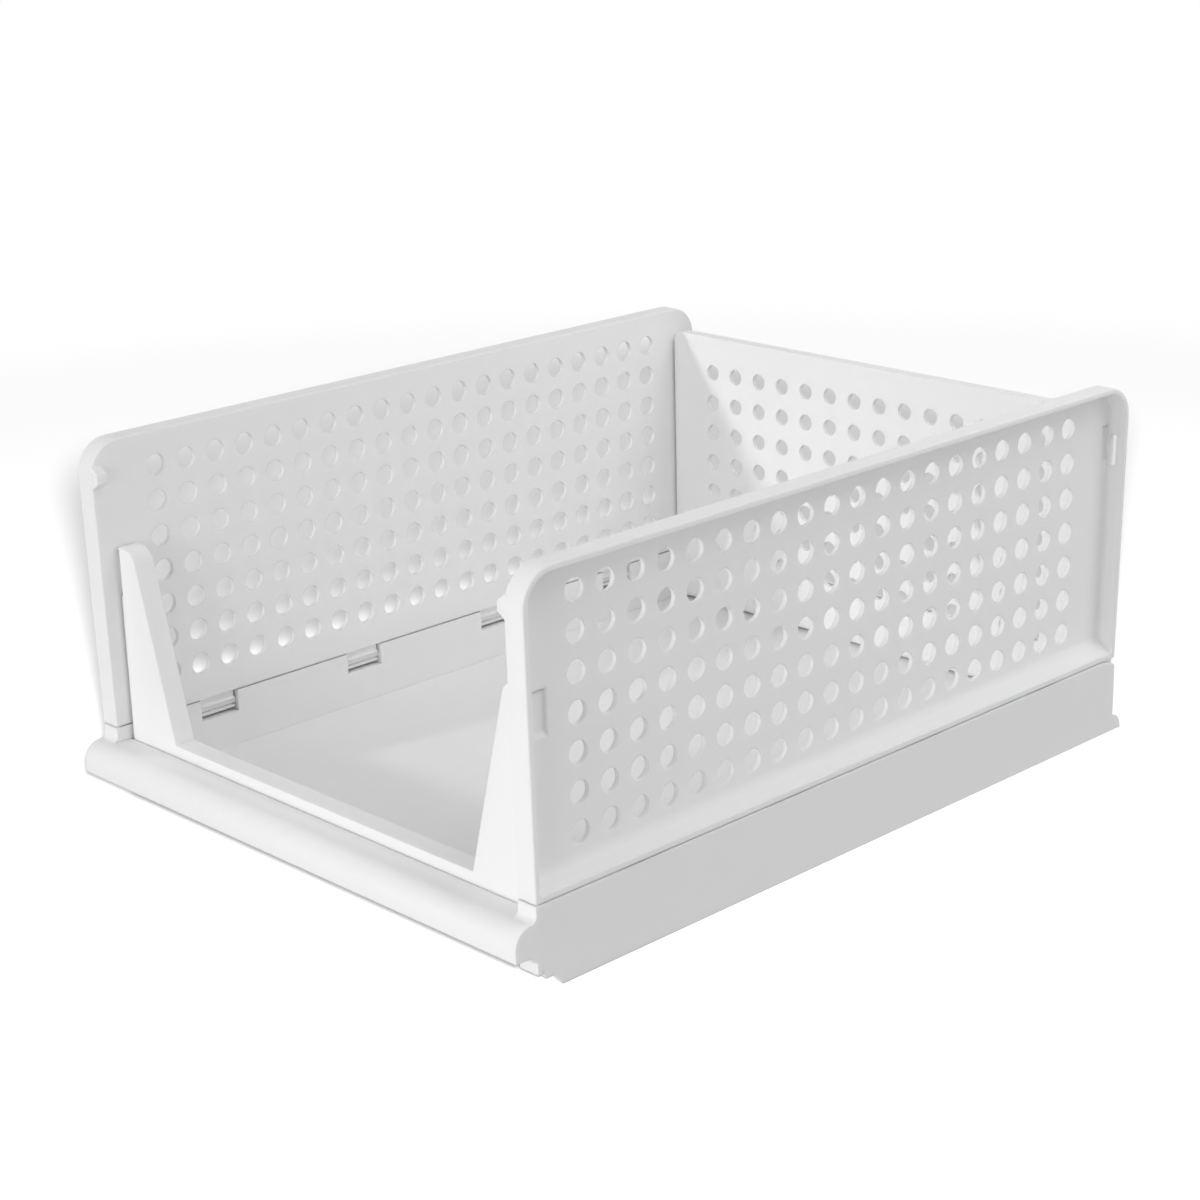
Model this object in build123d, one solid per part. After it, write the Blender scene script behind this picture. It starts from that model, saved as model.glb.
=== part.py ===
from build123d import *
import os

# Overall sizes of the standing box, in millimetres
body_width = 308.0
body_depth = 401.0
box_height = 181.0
lip_reach = 12.0
foot_reach = 7.0

# Walls and edges of the mouldings
base_wall = 2.2
panel_wall = 2.4
rim_wall = 2.6
edge_round = 0.8

# Base tray
curb_width = 11.2
curb_height = 39.2
floor_top = 10.7
lip_top = 32.0
lip_round = 8.7
lip_bottom = 17.6
lip_curb_round = 3.0
lip_web_length = 10.0
lip_web_round = 3.0
rail_height = 6.0
rail_front_slope = 4.5
rail_front_inset = 9.0
foot_height = 8.3
rear_dip = 3.0
rear_dip_length = 14.0
rib_wall = 1.6
rib_height = 5.5
rib_rows = 5
rib_columns = 3

# Snap hinges between the base and the side panels
hinge_count = 4
hinge_spacing = 93.0
hinge_notch = 22.5
hinge_notch_depth = 11.0
hinge_web = 2.0
hinge_drop = 6.0
hinge_inset = 6.6
bar_radius = 2.0
bar_clearance = 0.08
knuckle_wall = 1.8
knuckle_length = 20.0
knuckle_mouth = 3.4
knuckle_neck = 4.4
seam_gap = 0.8

# Side panels
side_corner = 16.0
side_front_lean = 2.0
side_rear_lean = 4.5
side_pocket_round = 2.0
slope_height = 8.0
slope_foot = 1.5
slope_round = 5.0
hole_diameter = 10.7
hole_pitch = 17.5
side_hole_margin = 30.0
side_hole_foot = 16.0
side_hole_drop = 17.0
stop_height = 10.7
stop_drop = 11.0
stop_depth = 4.3
stop_bevel = 3.0
stop_length = 5.0

# Front and back panels, which stand between the side panels
panel_side_gap = 1.3
fold_clearance = 0.8
pin_radius = 3.0
pin_clearance = 0.08
pin_reach = 3.0
front_setback = 8.4
front_stop_gap = 0.8
front_depth = 10.6
front_height = 129.0
front_post_width = 11.5
front_post_round = 8.0
front_sill_top = 37.5
front_sill_drop = 13.5
front_sill_width = 212.0
back_setback = 12.6
back_depth = 9.4
back_rim_depth = 6.4
back_height = 169.2
back_corner = 6.0
back_hole_diameter = 8.6
back_hole_pitch = 17.2
back_hole_margin = 25.0
back_hole_drop = 20.2

# Catches: tongues pressed inwards from the side panels, which lock the front and back panels
catch_height = 21.0
catch_rise = 1.0
catch_recess = 1.3
catch_ramp = 2.6
catch_slit = 1.6
catch_gap = 1.0
front_catch_length = 7.6
front_catch_drop = 12.5
back_catch_length = 5.4
back_catch_drop = 19.7
core_slot_width = 3.6
core_slot_height = 15.5
core_slot_inset = 0.3

# Places that follow from the sizes
half_width = body_width / 2
inner_x = half_width - curb_width
front_y = lip_reach - (body_depth + lip_reach + foot_reach) / 2
rear_y = front_y + body_depth
middle_y = (front_y + rear_y) / 2
lip_axis_y = front_y - lip_reach + lip_round
lip_axis_z = lip_top - lip_round
panel_bottom = curb_height + seam_gap
plate_x = inner_x + panel_wall
hinge_x = half_width - hinge_inset
hinge_z = curb_height - hinge_drop
hinge_places = [middle_y + (k - (hinge_count - 1) / 2) * hinge_spacing for k in range(hinge_count)]
panel_half = inner_x - panel_side_gap
front_face = front_y + front_setback
riser_y = front_face - front_stop_gap - base_wall
front_pivot_y = front_face + front_depth / 2
front_pivot_z = floor_top + fold_clearance + front_depth / 2
back_face = rear_y - back_setback
back_pivot_y = back_face + back_depth / 2
back_pivot_z = floor_top + fold_clearance + back_depth / 2
front_catch_z = front_height - front_catch_drop
back_catch_z = back_height - back_catch_drop
back_catch_y = rear_y - back_catch_length / 2


def block(x0, x1, y0, y1, z0, z1):
    """A box between two corners."""
    size = Box(x1 - x0, y1 - y0, z1 - z0, align=(Align.MIN, Align.MIN, Align.MIN))
    return Pos(x0, y0, z0) * size


def across(profile, x0, x1):
    """A profile drawn in Y and Z, run along X from x0 to x1."""
    return extrude(Plane.YZ.offset(x0) * profile, x1 - x0)


def along(profile, y0, y1):
    """A profile drawn in X and Z, run along Y from y0 to y1."""
    return extrude(Plane.XZ.offset(-y0) * profile, y0 - y1)


def area(across0, across1, low, high):
    """A flat rectangle between two corners of a section."""
    return Pos((across0 + across1) / 2, (low + high) / 2) * Rectangle(across1 - across0, high - low)


def rod(radius, x0, x1, y, z):
    """A round rod along X."""
    return across(Pos(y, z) * Circle(radius), x0, x1)


def both_sides(solid):
    """A right-hand solid and its mirror image."""
    return [solid, mirror(solid, about=Plane.YZ)]


def hole_places(width, height, pitch, middle, top):
    """Hole centres on a grid that fills a width and a height, as pairs of a sideways place and a height."""
    columns = int(width // pitch) + 1
    rows = int(height // pitch) + 1
    first = middle - (columns - 1) / 2 * pitch
    return [(first + c * pitch, top - r * pitch) for c in range(columns) for r in range(rows)]


# Base tray

def lip_arch(radius, back):
    """The lip's filled section: a straight nose that rounds over to a flat top, cut off by a plane behind."""
    nose = lip_axis_y - radius
    top = lip_axis_z + radius
    arch = Pos(lip_axis_y, lip_axis_z) * Circle(radius) + area(nose, back, lip_bottom, lip_axis_z)
    arch += area(lip_axis_y, back, lip_bottom, top)
    return arch & area(nose, back, lip_bottom, top)


def lip_at_curb():
    """The lip's filled section where a curb rises behind it, with a fillet between the two."""
    section = lip_arch(lip_round, front_y + base_wall)
    section += area(front_y, front_y + base_wall, lip_bottom, curb_height)
    corner = section.vertices().sort_by_distance((front_y, lip_top))[0]
    return fillet(corner, lip_curb_round)


def base_end_outline():
    """The base's side wall: lip in front, rail under it, round foot and dipping corner behind."""
    web_top = (front_y - lip_reach + lip_web_length, lip_bottom)
    web_foot = front_y + rail_front_inset - rail_front_slope
    rail_front = front_y + rail_front_inset + rail_front_slope
    dip_start = (rear_y - rear_dip_length, curb_height)
    dip_end = (rear_y, curb_height - rear_dip)
    edges = [
        Polyline(
            dip_start,
            (front_y, curb_height),
            (front_y, lip_axis_z),
            (web_top[0], lip_axis_z),
            web_top,
            (web_foot, rail_height),
            (front_y + rail_front_inset, rail_height),
            (rail_front, 0),
            (rear_y + foot_reach, 0),
        ),
        EllipticalCenterArc((rear_y, 0), foot_reach, foot_height, start_angle=0, arc_size=90),
        Line((rear_y, foot_height), dip_end),
        TangentArc(dip_start, dip_end, tangent=(1, 0)),
    ]
    outline = make_face(edges) + lip_at_curb()
    return fillet(outline.vertices().sort_by_distance(web_top)[0], lip_web_round)


def hinge_pocket():
    """The webs and the floor that carry one hinge bar inside the hollow curb."""
    half = hinge_notch / 2
    low = curb_height - hinge_notch_depth - base_wall
    pocket = block(inner_x, half_width, -half - hinge_web, half + hinge_web, low, curb_height)
    notch = block(inner_x, half_width - base_wall, -half, half, low + base_wall, curb_height)
    return pocket - notch + along(Pos(hinge_x, hinge_z) * Circle(bar_radius), -half, half)


def curb():
    """The right-hand curb: skirt, inner wall and top, with the lip's end and the hinge pockets."""
    skirt = across(base_end_outline(), half_width - base_wall, half_width)
    top_edge = skirt.edges().filter_by(Axis.Y).group_by(Axis.Z)[-1].sort_by(Axis.X)[-1]
    walls = fillet(top_edge, edge_round)
    walls += block(inner_x, inner_x + base_wall, front_y, rear_y, floor_top - base_wall, curb_height)
    walls += block(inner_x, half_width - base_wall, front_y, rear_y, curb_height - base_wall, curb_height)
    walls += block(inner_x, half_width, front_y, front_y + base_wall, floor_top - base_wall, lip_bottom)
    walls += across(lip_at_curb() - lip_arch(lip_round - base_wall, front_y), inner_x, half_width - base_wall)
    for y in hinge_places:
        walls -= block(
            inner_x, half_width - base_wall, y - hinge_notch / 2, y + hinge_notch / 2,
            curb_height - hinge_notch_depth, curb_height,
        )
        walls += Pos(0, y, 0) * hinge_pocket()
    for y, z in ((front_pivot_y, front_pivot_z), (back_pivot_y, back_pivot_z)):
        walls -= rod(pin_radius + pin_clearance, inner_x, inner_x + base_wall, y, z)
    return walls


def base_tray():
    """Floor, hollow curbs with hinge bars, rolled handle lip, skirts and ribs."""
    floor_low = floor_top - base_wall
    skirt_inside = half_width - base_wall
    tray = block(-inner_x, inner_x, riser_y, rear_y, floor_low, floor_top)
    tray += block(-inner_x, inner_x, riser_y, riser_y + base_wall, floor_low, lip_bottom)
    tray += block(-skirt_inside, skirt_inside, rear_y - base_wall, rear_y, 0, curb_height)
    lip = lip_arch(lip_round, riser_y + base_wall) - lip_arch(lip_round - base_wall, riser_y)
    tray += across(lip, -inner_x, inner_x)
    tray += both_sides(curb())
    rib_low = floor_low - rib_height
    rib_pitch = body_depth / (rib_rows + 1)
    rib_places = [front_y + (k + 1) * rib_pitch for k in range(rib_rows)]
    for y in rib_places:
        tray += block(-inner_x, inner_x, y - rib_wall / 2, y + rib_wall / 2, rib_low, floor_low)
    for k in range(rib_columns):
        x = (k - (rib_columns - 1) / 2) * 2 * inner_x / (rib_columns + 1)
        tray += block(x - rib_wall / 2, x + rib_wall / 2, rib_places[0], rib_places[-1], rib_low, floor_low)
    return tray


# Side panels

def knuckle():
    """The open clip that snaps round a hinge bar, with the neck that carries it."""
    inside = bar_radius + bar_clearance
    outside = inside + knuckle_wall
    neck_top = panel_bottom + slope_height / 2
    neck = Pos(hinge_x, (hinge_z + neck_top) / 2) * Rectangle(knuckle_neck, neck_top - hinge_z)
    mouth = Pos(hinge_x - outside, hinge_z) * Rectangle(2 * outside, knuckle_mouth)
    profile = Pos(hinge_x, hinge_z) * Circle(outside) + neck
    profile -= Pos(hinge_x, hinge_z) * Circle(inside)
    return along(profile - mouth, -knuckle_length / 2, knuckle_length / 2)


def side_pocket(outline):
    """The hollow outside of the plate, whose floor curves out to the hinge line."""
    above_slope = Polygon(
        (plate_x, panel_bottom + slope_height),
        (half_width, panel_bottom + slope_foot),
        (half_width, box_height),
        (plate_x, box_height),
        align=None,
    )
    crease = above_slope.vertices().group_by(Axis.X)[0].sort_by(Axis.Y)[0]
    above_slope = fillet(crease, slope_round)
    pocket = across(offset(outline, -rim_wall), plate_x, half_width)
    pocket &= along(above_slope, front_y - side_front_lean, rear_y + side_rear_lean)
    return fillet(pocket.faces().sort_by(Axis.X)[0].edges().sort_by(Axis.Z)[1:], side_pocket_round)


def hinge_hollow():
    """The hollow under the sloping foot, which keeps the wall even and is open below."""
    foot = Polygon(
        (inner_x, panel_bottom - panel_wall),
        (half_width, panel_bottom - panel_wall),
        (half_width, panel_bottom + slope_foot),
        (plate_x, panel_bottom + slope_height),
        (inner_x, panel_bottom + slope_height),
        align=None,
    )
    return along(offset(foot, -panel_wall), front_y + rim_wall, rear_y - rim_wall)


def catch_tongue(length):
    """The part of the plate that a catch presses inwards, as a solid to add."""
    low = -catch_height / 2
    free_end = catch_height / 2 - catch_slit
    tongue = Polygon(
        (plate_x, free_end),
        (inner_x - catch_rise, free_end),
        (inner_x - catch_rise, low + catch_ramp),
        (inner_x, low),
        (plate_x, low),
        align=None,
    )
    return along(tongue, -length / 2, length / 2)


def catch_cut(length):
    """The recess outside a catch's tongue and the slit above its free end."""
    low = -catch_height / 2
    high = catch_height / 2
    outside = plate_x + side_pocket_round
    recess = Polygon(
        (outside, high),
        (inner_x, high),
        (inner_x, high - catch_slit),
        (plate_x - catch_recess, high - catch_slit),
        (plate_x - catch_recess, low + catch_ramp),
        (plate_x, low),
        (outside, low),
        align=None,
    )
    return along(recess, -length / 2, length / 2)


def stacking_stop():
    """The bump inside the front edge that stops the box above from sliding right out."""
    top = box_height - stop_drop
    low = top - stop_height
    tip = inner_x - stop_depth
    bump = Polygon(
        (plate_x, top),
        (inner_x, top),
        (tip, top - stop_bevel),
        (tip, low + stop_bevel),
        (inner_x, low),
        (plate_x, low),
        align=None,
    )
    stop_front = front_y - side_front_lean + edge_round
    return along(bump, stop_front, stop_front + stop_length)


def side_panel():
    """The right-hand perforated panel, with its rim turned outwards."""
    outline = Polygon(
        (front_y, panel_bottom),
        (rear_y, panel_bottom),
        (rear_y + side_rear_lean, box_height),
        (front_y - side_front_lean, box_height),
        align=None,
    )
    outline = fillet(outline.vertices().sort_by(Axis.Y)[-2:], side_corner)
    panel = across(outline, inner_x, half_width)
    for face in (0, -1):
        rim_edges = panel.faces().sort_by(Axis.X)[face].edges().sort_by(Axis.Z)[1:]
        panel = fillet(rim_edges, edge_round)
    panel -= side_pocket(outline)
    panel -= hinge_hollow()
    panel += [Pos(0, y, 0) * knuckle() for y in hinge_places]
    panel += stacking_stop()
    catches = [
        (front_pivot_y, front_catch_z, front_catch_length),
        (back_catch_y, back_catch_z, back_catch_length),
    ]
    for y, z, length in catches:
        panel += Pos(0, y, z) * catch_tongue(length)
        panel -= Pos(0, y, z) * catch_cut(length)
    slot_x = plate_x + core_slot_inset
    slot_z = back_catch_z - catch_height / 2
    panel -= block(
        slot_x, slot_x + core_slot_width, rear_y - rim_wall, rear_y + side_rear_lean,
        slot_z, slot_z + core_slot_height,
    )
    top_row = box_height - side_hole_drop
    hole_field = top_row - panel_bottom - side_hole_foot
    centres = hole_places(body_depth - 2 * side_hole_margin, hole_field, hole_pitch, middle_y, top_row)
    panel -= [rod(hole_diameter / 2, inner_x, plate_x, y, z) for y, z in centres]
    return panel


# Front panel

def front_panel():
    """The low sill, two tapering posts with hollows for the catches, and the pivot barrel with its pins."""
    post_inner = panel_half - front_post_width
    sill_half = front_sill_width / 2
    rail_low = front_sill_top - front_sill_drop
    back = front_face + front_depth
    post = Polygon(
        (sill_half, front_sill_top),
        (panel_half, front_sill_top),
        (panel_half, front_height),
        (post_inner, front_height),
        align=None,
    )
    inner_corner = post.vertices().group_by(Axis.Y)[-1].sort_by(Axis.X)[0]
    post = fillet(inner_corner, front_post_round)
    post_shell = along(post, front_face, back)
    post_shell -= along(offset(post, -panel_wall), front_face + panel_wall, back)
    catch_reach = catch_height / 2 + catch_gap
    post_shell -= block(
        panel_half - catch_rise, panel_half,
        front_face, front_pivot_y + front_catch_length / 2 + catch_gap,
        front_catch_z - catch_reach, front_catch_z + catch_reach,
    )
    post_shell += rod(
        pin_radius, panel_half, inner_x + base_wall + pin_reach, front_pivot_y, front_pivot_z
    )
    panel = block(-panel_half, panel_half, front_face, back, front_sill_top - panel_wall, front_sill_top)
    panel += block(-panel_half, panel_half, front_face, front_face + panel_wall, rail_low, front_sill_top)
    panel += block(-panel_half, panel_half, back - panel_wall, back, rail_low, front_sill_top)
    web = panel_wall / 2
    panel += block(
        -panel_half, panel_half, front_pivot_y - web, front_pivot_y + web, front_pivot_z, front_sill_top
    )
    panel += rod(front_depth / 2 - edge_round, -panel_half, panel_half, front_pivot_y, front_pivot_z)
    panel += both_sides(post_shell)
    return panel


# Back panel

def back_panel():
    """The perforated back: a rim turned to the rear, hollows for the catches, and a pivot barrel below."""
    rear = back_face + back_depth
    outline = Polygon(
        (-panel_half, back_pivot_z),
        (panel_half, back_pivot_z),
        (panel_half, back_height),
        (-panel_half, back_height),
        align=None,
    )
    outline = fillet(outline.vertices().group_by(Axis.Y)[-1], back_corner)
    panel = along(outline, back_face, rear)
    panel -= along(offset(outline, -panel_wall), back_face + panel_wall, rear)
    panel -= block(
        -panel_half, panel_half, back_face + back_rim_depth, rear, back_height - back_corner, back_height
    )
    panel += rod(back_depth / 2, -panel_half, panel_half, back_pivot_y, back_pivot_z)
    catch_reach = catch_height / 2 + catch_gap
    catch_hollow = block(
        panel_half - catch_rise, panel_half,
        back_catch_y - back_catch_length / 2 - catch_gap, rear,
        back_catch_z - catch_reach, back_catch_z + catch_reach,
    )
    panel -= both_sides(catch_hollow)
    end = rod(pin_radius, panel_half, inner_x + base_wall + pin_reach, back_pivot_y, back_pivot_z)
    panel += both_sides(end)
    top_row = back_height - back_hole_drop
    hole_field = top_row - back_pivot_z - back_hole_margin
    centres = hole_places(2 * (panel_half - back_hole_margin), hole_field, back_hole_pitch, 0, top_row)
    hole = along(Circle(back_hole_diameter / 2), back_face, back_face + panel_wall)
    panel -= [Pos(x, 0, z) * hole for x, z in centres]
    return panel


# One file for each moulding
right_side = side_panel()
mouldings = {
    "base_tray": base_tray(),
    "right_side_panel": right_side,
    "left_side_panel": mirror(right_side, about=Plane.YZ),
    "front_panel": front_panel(),
    "back_panel": back_panel(),
}
os.makedirs("parts", exist_ok=True)
for name, moulding in mouldings.items():
    export_step(moulding, os.path.join("parts", name + ".step"))
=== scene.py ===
import math

import bpy
from mathutils import Matrix, Vector


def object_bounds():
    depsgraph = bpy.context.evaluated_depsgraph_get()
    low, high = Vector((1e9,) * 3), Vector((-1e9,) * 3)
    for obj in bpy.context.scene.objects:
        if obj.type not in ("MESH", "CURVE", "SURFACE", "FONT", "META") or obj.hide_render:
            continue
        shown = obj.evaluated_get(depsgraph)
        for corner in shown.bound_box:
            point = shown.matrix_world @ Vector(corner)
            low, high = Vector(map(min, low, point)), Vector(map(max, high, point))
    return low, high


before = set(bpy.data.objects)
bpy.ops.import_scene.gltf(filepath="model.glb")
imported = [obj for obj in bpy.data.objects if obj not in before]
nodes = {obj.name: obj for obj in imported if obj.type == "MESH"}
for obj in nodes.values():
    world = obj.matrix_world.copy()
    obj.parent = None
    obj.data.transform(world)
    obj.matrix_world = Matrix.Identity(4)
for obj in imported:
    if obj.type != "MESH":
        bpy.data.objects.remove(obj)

scene = bpy.context.scene
cad_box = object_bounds()


# Base tray: one injection moulding of white polypropylene, with a flat floor, hollow curbs and a rolled lip.
# Its skin has the mould's fine spark-eroded grain, and the skirts' lower edges are scratched by sliding on the
# rims of other boxes.

def new_group(name, inputs, outputs):
    """An empty shader node group; its sockets are given as pairs of a name and a socket type."""
    group = bpy.data.node_groups.new(name, "ShaderNodeTree")
    for socket, kind in inputs:
        group.interface.new_socket(name=socket, in_out="INPUT", socket_type=kind)
    for socket, kind in outputs:
        group.interface.new_socket(name=socket, in_out="OUTPUT", socket_type=kind)
    return group, group.nodes.new("NodeGroupInput"), group.nodes.new("NodeGroupOutput")


def use_group(tree, group):
    """Places a shader node group in a material."""
    node = tree.nodes.new("ShaderNodeGroup")
    node.node_tree = group
    return node


def noise(tree, place, size, detail, roughness):
    """A noise texture whose lumps are about this many metres across."""
    node = tree.nodes.new("ShaderNodeTexNoise")
    node.inputs["Scale"].default_value = 1.0 / size
    node.inputs["Detail"].default_value = detail
    node.inputs["Roughness"].default_value = roughness
    tree.links.new(place, node.inputs["Vector"])
    return node.outputs["Fac"]


def math_node(tree, operation, first, second, clamp=False):
    """One arithmetic node; each value is a socket or a number."""
    node = tree.nodes.new("ShaderNodeMath")
    node.operation = operation
    node.use_clamp = clamp
    for socket, value in zip(node.inputs, (first, second)):
        if isinstance(value, (int, float)):
            socket.default_value = value
        else:
            tree.links.new(value, socket)
    return node.outputs["Value"]


def ramp(tree, value, low, high, to_low=0.0, to_high=1.0):
    """A smooth step from to_low at low to to_high at high."""
    node = tree.nodes.new("ShaderNodeMapRange")
    node.interpolation_type = "SMOOTHSTEP"
    tree.links.new(value, node.inputs["Value"])
    node.inputs["From Min"].default_value = low
    node.inputs["From Max"].default_value = high
    node.inputs["To Min"].default_value = to_low
    node.inputs["To Max"].default_value = to_high
    return node.outputs["Result"]


def moulded_skin():
    """Skin of an injection moulding: a fine grain, broad flow marks and patches polished by hands."""
    group, _, out = new_group(
        "moulded_skin", [], [(name, "NodeSocketFloat") for name in ("Grain", "Flow", "Handled")]
    )
    place = group.nodes.new("ShaderNodeTexCoord").outputs["Object"]
    grain = noise(group, place, size=0.0006, detail=2.0, roughness=0.6)
    flow = noise(group, place, size=0.055, detail=3.0, roughness=0.5)
    handled = noise(group, place, size=0.022, detail=4.0, roughness=0.65)
    group.links.new(grain, out.inputs["Grain"])
    group.links.new(flow, out.inputs["Flow"])
    group.links.new(handled, out.inputs["Handled"])
    return group


def moulded_edges():
    """Where a moulding's edges lie: the turn from its own normal to one averaged over a small radius."""
    group, enter, out = new_group(
        "moulded_edges",
        [("Radius", "NodeSocketFloat")],
        [("Edge", "NodeSocketFloat"), ("Normal", "NodeSocketVector")],
    )
    soft = group.nodes.new("ShaderNodeBevel")
    soft.samples = 6
    group.links.new(enter.outputs["Radius"], soft.inputs["Radius"])
    own = group.nodes.new("ShaderNodeNewGeometry")
    turn = group.nodes.new("ShaderNodeVectorMath")
    turn.operation = "DOT_PRODUCT"
    group.links.new(soft.outputs["Normal"], turn.inputs[0])
    group.links.new(own.outputs["Normal"], turn.inputs[1])
    edge = ramp(group, turn.outputs["Value"], low=1.0, high=0.8)
    group.links.new(edge, out.inputs["Edge"])
    group.links.new(soft.outputs["Normal"], out.inputs["Normal"])
    return group


def slide_wear():
    """Fine scratches from sliding on another box: noise drawn out along the box, close to one height."""
    group, enter, out = new_group(
        "slide_wear", [("Height", "NodeSocketFloat")], [("Worn", "NodeSocketFloat")]
    )
    place = group.nodes.new("ShaderNodeTexCoord").outputs["Object"]
    stretch = group.nodes.new("ShaderNodeMapping")
    stretch.inputs["Scale"].default_value = (1.0, 0.02, 1.0)
    group.links.new(place, stretch.inputs["Vector"])
    streaks = noise(group, stretch.outputs["Vector"], size=0.0009, detail=3.0, roughness=0.6)
    scratches = ramp(group, streaks, low=0.5, high=0.62)
    parts = group.nodes.new("ShaderNodeSeparateXYZ")
    group.links.new(place, parts.inputs["Vector"])
    above = math_node(group, "SUBTRACT", parts.outputs["Z"], enter.outputs["Height"])
    away = math_node(group, "ABSOLUTE", above, 0.0)
    near = ramp(group, away, low=0.0014, high=0.0002)
    group.links.new(math_node(group, "MULTIPLY", scratches, near), out.inputs["Worn"])
    return group


skin_group = moulded_skin()
edge_group = moulded_edges()
wear_group = slide_wear()

plastic_white = (0.93, 0.93, 0.93)
flow_dark = 0.975
flow_light = 1.02


def white_polypropylene(name, edge_radius, roughness, slide_height=None):
    """Matt white polypropylene with moulded grain, polished edges carrying a painted highlight, and scratches
    at the height it slides on.
    """
    material = bpy.data.materials.new(name)
    material.use_nodes = True
    tree = material.node_tree
    shader = tree.nodes["Principled BSDF"]
    shader.inputs["IOR"].default_value = 1.49
    shader.inputs["Specular IOR Level"].default_value = 0.25
    shader.inputs["Subsurface Weight"].default_value = 0.6
    shader.inputs["Subsurface Radius"].default_value = (1.0, 1.0, 1.0)
    shader.inputs["Subsurface Scale"].default_value = 0.002

    skin = use_group(tree, skin_group)
    edges = use_group(tree, edge_group)
    edges.inputs["Radius"].default_value = edge_radius

    # Painted highlight: the edges are painted paler in the base colour, standing in for light caught on rounded
    # edges.
    edge_painted_highlight = math_node(tree, "MULTIPLY", edges.outputs["Edge"], 0.3)
    flow_tint = ramp(tree, skin.outputs["Flow"], low=0.3, high=0.7, to_low=0.3, to_high=0.75)
    paleness = math_node(tree, "ADD", flow_tint, edge_painted_highlight, clamp=True)
    handling = ramp(
        tree, skin.outputs["Handled"], low=0.3, high=0.7, to_low=roughness - 0.05, to_high=roughness + 0.06
    )
    edge_polish = math_node(tree, "MULTIPLY", edges.outputs["Edge"], -0.1)
    finish = math_node(tree, "ADD", handling, edge_polish)
    if slide_height is not None:
        wear = use_group(tree, wear_group)
        wear.inputs["Height"].default_value = slide_height
        scuff = math_node(tree, "MULTIPLY", wear.outputs["Worn"], 0.8)
        paleness = math_node(tree, "SUBTRACT", paleness, scuff, clamp=True)
        rubbing = math_node(tree, "MULTIPLY", wear.outputs["Worn"], -0.1)
        finish = math_node(tree, "ADD", finish, rubbing)

    tint = tree.nodes.new("ShaderNodeMix")
    tint.data_type = "RGBA"
    tint.inputs["A"].default_value = (*(c * flow_dark for c in plastic_white), 1)
    tint.inputs["B"].default_value = (*(c * flow_light for c in plastic_white), 1)
    tree.links.new(paleness, tint.inputs["Factor"])
    tree.links.new(tint.outputs["Result"], shader.inputs["Base Color"])
    tree.links.new(finish, shader.inputs["Roughness"])

    bump = tree.nodes.new("ShaderNodeBump")
    bump.inputs["Strength"].default_value = 0.12
    bump.inputs["Distance"].default_value = 0.00008
    tree.links.new(skin.outputs["Grain"], bump.inputs["Height"])
    tree.links.new(edges.outputs["Normal"], bump.inputs["Normal"])
    tree.links.new(bump.outputs["Normal"], shader.inputs["Normal"])
    return material


def dress(node, material):
    """Puts one material on every slot of a node."""
    for slot in nodes[node].material_slots:
        slot.material = material


skirt_foot = cad_box[0][2]
base_plastic = white_polypropylene(
    "base_polypropylene", edge_radius=0.0006, roughness=0.56, slide_height=skirt_foot
)
dress("base_tray", base_plastic)


# Side panels: two perforated walls, moulded as mirror images in white polypropylene, which clip onto the base's
# hinge bars. Their rims turn outwards, and the box above slides on them and leaves fine scratches along them.

rim_top = cad_box[1][2]
side_plastic = white_polypropylene(
    "side_polypropylene", edge_radius=0.0005, roughness=0.56, slide_height=rim_top
)
dress("right_side_panel", side_plastic)
dress("left_side_panel", side_plastic)


# Front panel: the low sill with two tapering posts, a hollow moulding of the same white polypropylene.
# It turns on two pins of its own in the base's curbs, and hands polish it more than the other walls.

front_plastic = white_polypropylene("front_polypropylene", edge_radius=0.0006, roughness=0.53)
dress("front_panel", front_plastic)


# Back panel: the perforated rear wall of white polypropylene, moulded in one with its rim and pivot barrel.
# It stands between the side panels, held by their catches, and folds inwards on its pins.

back_plastic = white_polypropylene("back_polypropylene", edge_radius=0.0005, roughness=0.56)
dress("back_panel", back_plastic)


# Floor: a wide sheet of white studio paper, laid flat under the box.
# Near the box it takes light and keeps the box's shadow, and further off it is plain white.

floor_half = 9.0
paper_bounce = (0.28, 0.28, 0.28, 1)
paper_white = (0.85, 0.85, 0.85, 1)
plain_white_from = 0.85
plain_white_at = 1.15
glow_near_box = 0.28

floor_corners = [(x * floor_half, y * floor_half, 0) for x, y in ((-1, -1), (1, -1), (1, 1), (-1, 1))]
floor_mesh = bpy.data.meshes.new("studio_floor")
floor_mesh.from_pydata(floor_corners, [], [(0, 1, 2, 3)])
floor = bpy.data.objects.new("studio_floor", floor_mesh)
scene.collection.objects.link(floor)


def seen_by_eye(tree):
    """One for rays from the camera, from gloss and through glass, and nothing for rays that light the box."""
    path = tree.nodes.new("ShaderNodeLightPath")
    seen = math_node(tree, "ADD", path.outputs["Is Camera Ray"], path.outputs["Is Glossy Ray"], clamp=True)
    return math_node(tree, "ADD", seen, path.outputs["Is Transmission Ray"], clamp=True)


paper = bpy.data.materials.new("sweep_paper")
paper.use_nodes = True
paper_tree = paper.node_tree
paper_shader = paper_tree.nodes["Principled BSDF"]
paper_shader.inputs["Roughness"].default_value = 1.0
paper_shader.inputs["Specular IOR Level"].default_value = 0.0
paper_seen = seen_by_eye(paper_tree)
paper_tint = paper_tree.nodes.new("ShaderNodeMix")
paper_tint.data_type = "RGBA"
paper_tint.inputs["A"].default_value = paper_bounce
paper_tint.inputs["B"].default_value = paper_white
paper_tree.links.new(paper_seen, paper_tint.inputs["Factor"])
paper_tree.links.new(paper_tint.outputs["Result"], paper_shader.inputs["Base Color"])

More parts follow.
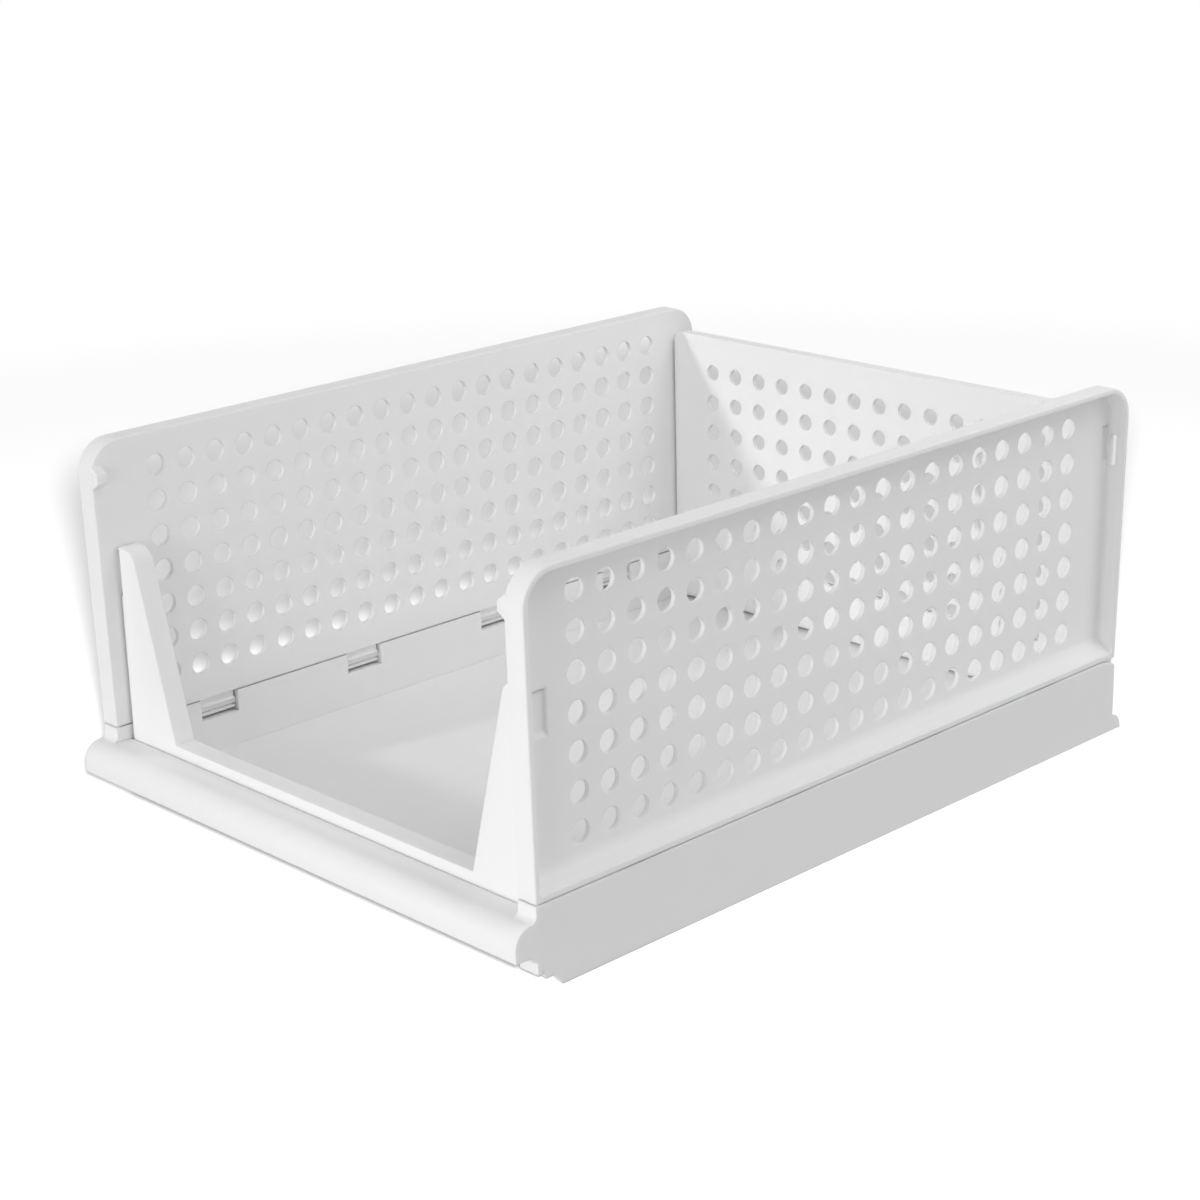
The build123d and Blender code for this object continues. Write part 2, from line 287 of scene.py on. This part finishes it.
paper_place = paper_tree.nodes.new("ShaderNodeTexCoord").outputs["Object"]
paper_reach = paper_tree.nodes.new("ShaderNodeVectorMath")
paper_reach.operation = "LENGTH"
paper_tree.links.new(paper_place, paper_reach.inputs[0])
paper_far = ramp(
    paper_tree, paper_reach.outputs["Value"], plain_white_from, plain_white_at, to_low=glow_near_box
)
paper_glow = paper_tree.nodes.new("ShaderNodeEmission")
paper_mix = paper_tree.nodes.new("ShaderNodeMixShader")
paper_tree.links.new(math_node(paper_tree, "MULTIPLY", paper_far, paper_seen), paper_mix.inputs["Fac"])
paper_tree.links.new(paper_shader.outputs["BSDF"], paper_mix.inputs[1])
paper_tree.links.new(paper_glow.outputs["Emission"], paper_mix.inputs[2])
paper_tree.links.new(paper_mix.outputs["Shader"], paper_tree.nodes["Material Output"].inputs["Surface"])
floor_mesh.materials.append(paper)


# Light: an even pale room, a key lamp in front of the open side, and three softboxes, one high and one low at
# the right rear and one low in front, all for the box alone. A small lamp beside the camera lights only the
# paper, so that the box's shadow on it falls behind the box.

ambient = 0.43
world = bpy.data.worlds.new("studio_room")
scene.world = world
world.use_nodes = True
room_tree = world.node_tree
room = room_tree.nodes["Background"]
room.inputs["Color"].default_value = (1, 1, 1, 1)
room_strength = math_node(room_tree, "MULTIPLY_ADD", seen_by_eye(room_tree), 1.0 - ambient)
room_strength.node.inputs[2].default_value = ambient
room_tree.links.new(room_strength, room.inputs["Strength"])


def lamp_object(name, lamp, place, towards):
    """A lamp at a place, shining along a direction."""
    piece = bpy.data.objects.new(name, lamp)
    turn = Vector(towards).to_track_quat("-Z", "Y").to_matrix().to_4x4()
    piece.matrix_world = Matrix.Translation(place) @ turn
    scene.collection.objects.link(piece)
    return piece


def disk_light(name, width, power):
    """A round flat lamp."""
    light = bpy.data.lights.new(name, "AREA")
    light.shape = "DISK"
    light.size = width
    light.energy = power
    return light


def softbox(name, place, width, power):
    """A round studio softbox that faces the box."""
    return lamp_object(name, disk_light(name, width, power), place, -Vector(place))


key_light = bpy.data.lights.new("front_lamp", "SUN")
key_light.energy = 0.77
key_light.angle = math.radians(4.0)
box_lamps = [
    lamp_object("front_lamp", key_light, place=(0, -2, 1), towards=(0.218, 0.930, -0.297)),
    softbox("rear_softbox", place=(0.6, 0.5, 1.1), width=0.8, power=4.2),
    softbox("side_softbox", place=(0.8, 0.7, 0.32), width=0.6, power=1.0),
    softbox("low_softbox", place=(0.3, -1.6, 0.2), width=1.0, power=7.6),
]

camera_place = Vector((0.85135, -0.82948, 0.48044))
sweep_offset = Vector((0.01, 0.01, 0.036))
sweep_strength = 28.0
sweep_light = disk_light("sweep_lamp", width=0.08, power=1.0)
sweep_light.use_nodes = True
sweep_tree = sweep_light.node_tree
falloff = sweep_tree.nodes.new("ShaderNodeLightFalloff")
falloff.inputs["Strength"].default_value = sweep_strength
sweep_tree.links.new(falloff.outputs["Constant"], sweep_tree.nodes["Emission"].inputs["Strength"])
sweep_lamp = lamp_object("sweep_lamp", sweep_light, camera_place + sweep_offset, -camera_place)

sweep_only = bpy.data.collections.new("sweep_only")
sweep_only.objects.link(floor)
sweep_lamp.light_linking.receiver_collection = sweep_only
box_only = bpy.data.collections.new("box_only")
for node in nodes.values():
    box_only.objects.link(node)
for lamp in box_lamps:
    lamp.light_linking.receiver_collection = box_only


# Camera: a plain lens at the photograph's place, found from the hole grids of the walls.
# It looks down on the open front from the right, and is turned a little about its own axis.

camera_azimuth = math.radians(46.08)
camera_elevation = math.radians(18.316)
camera_roll = math.radians(-1.446)
photo_width = 1200
photo_focal_length = 2556.5

lens = bpy.data.cameras.new("photo_camera")
lens.sensor_width = 36.0
lens.lens = photo_focal_length / photo_width * lens.sensor_width
lens.clip_end = 50
camera = bpy.data.objects.new("photo_camera", lens)
camera.matrix_world = (
    Matrix.Translation(camera_place)
    @ Matrix.Rotation(camera_azimuth, 4, "Z")
    @ Matrix.Rotation(math.pi / 2 - camera_elevation, 4, "X")
    @ Matrix.Rotation(camera_roll, 4, "Z")
)
scene.collection.objects.link(camera)
scene.camera = camera
scene.view_settings.view_transform = "Standard"
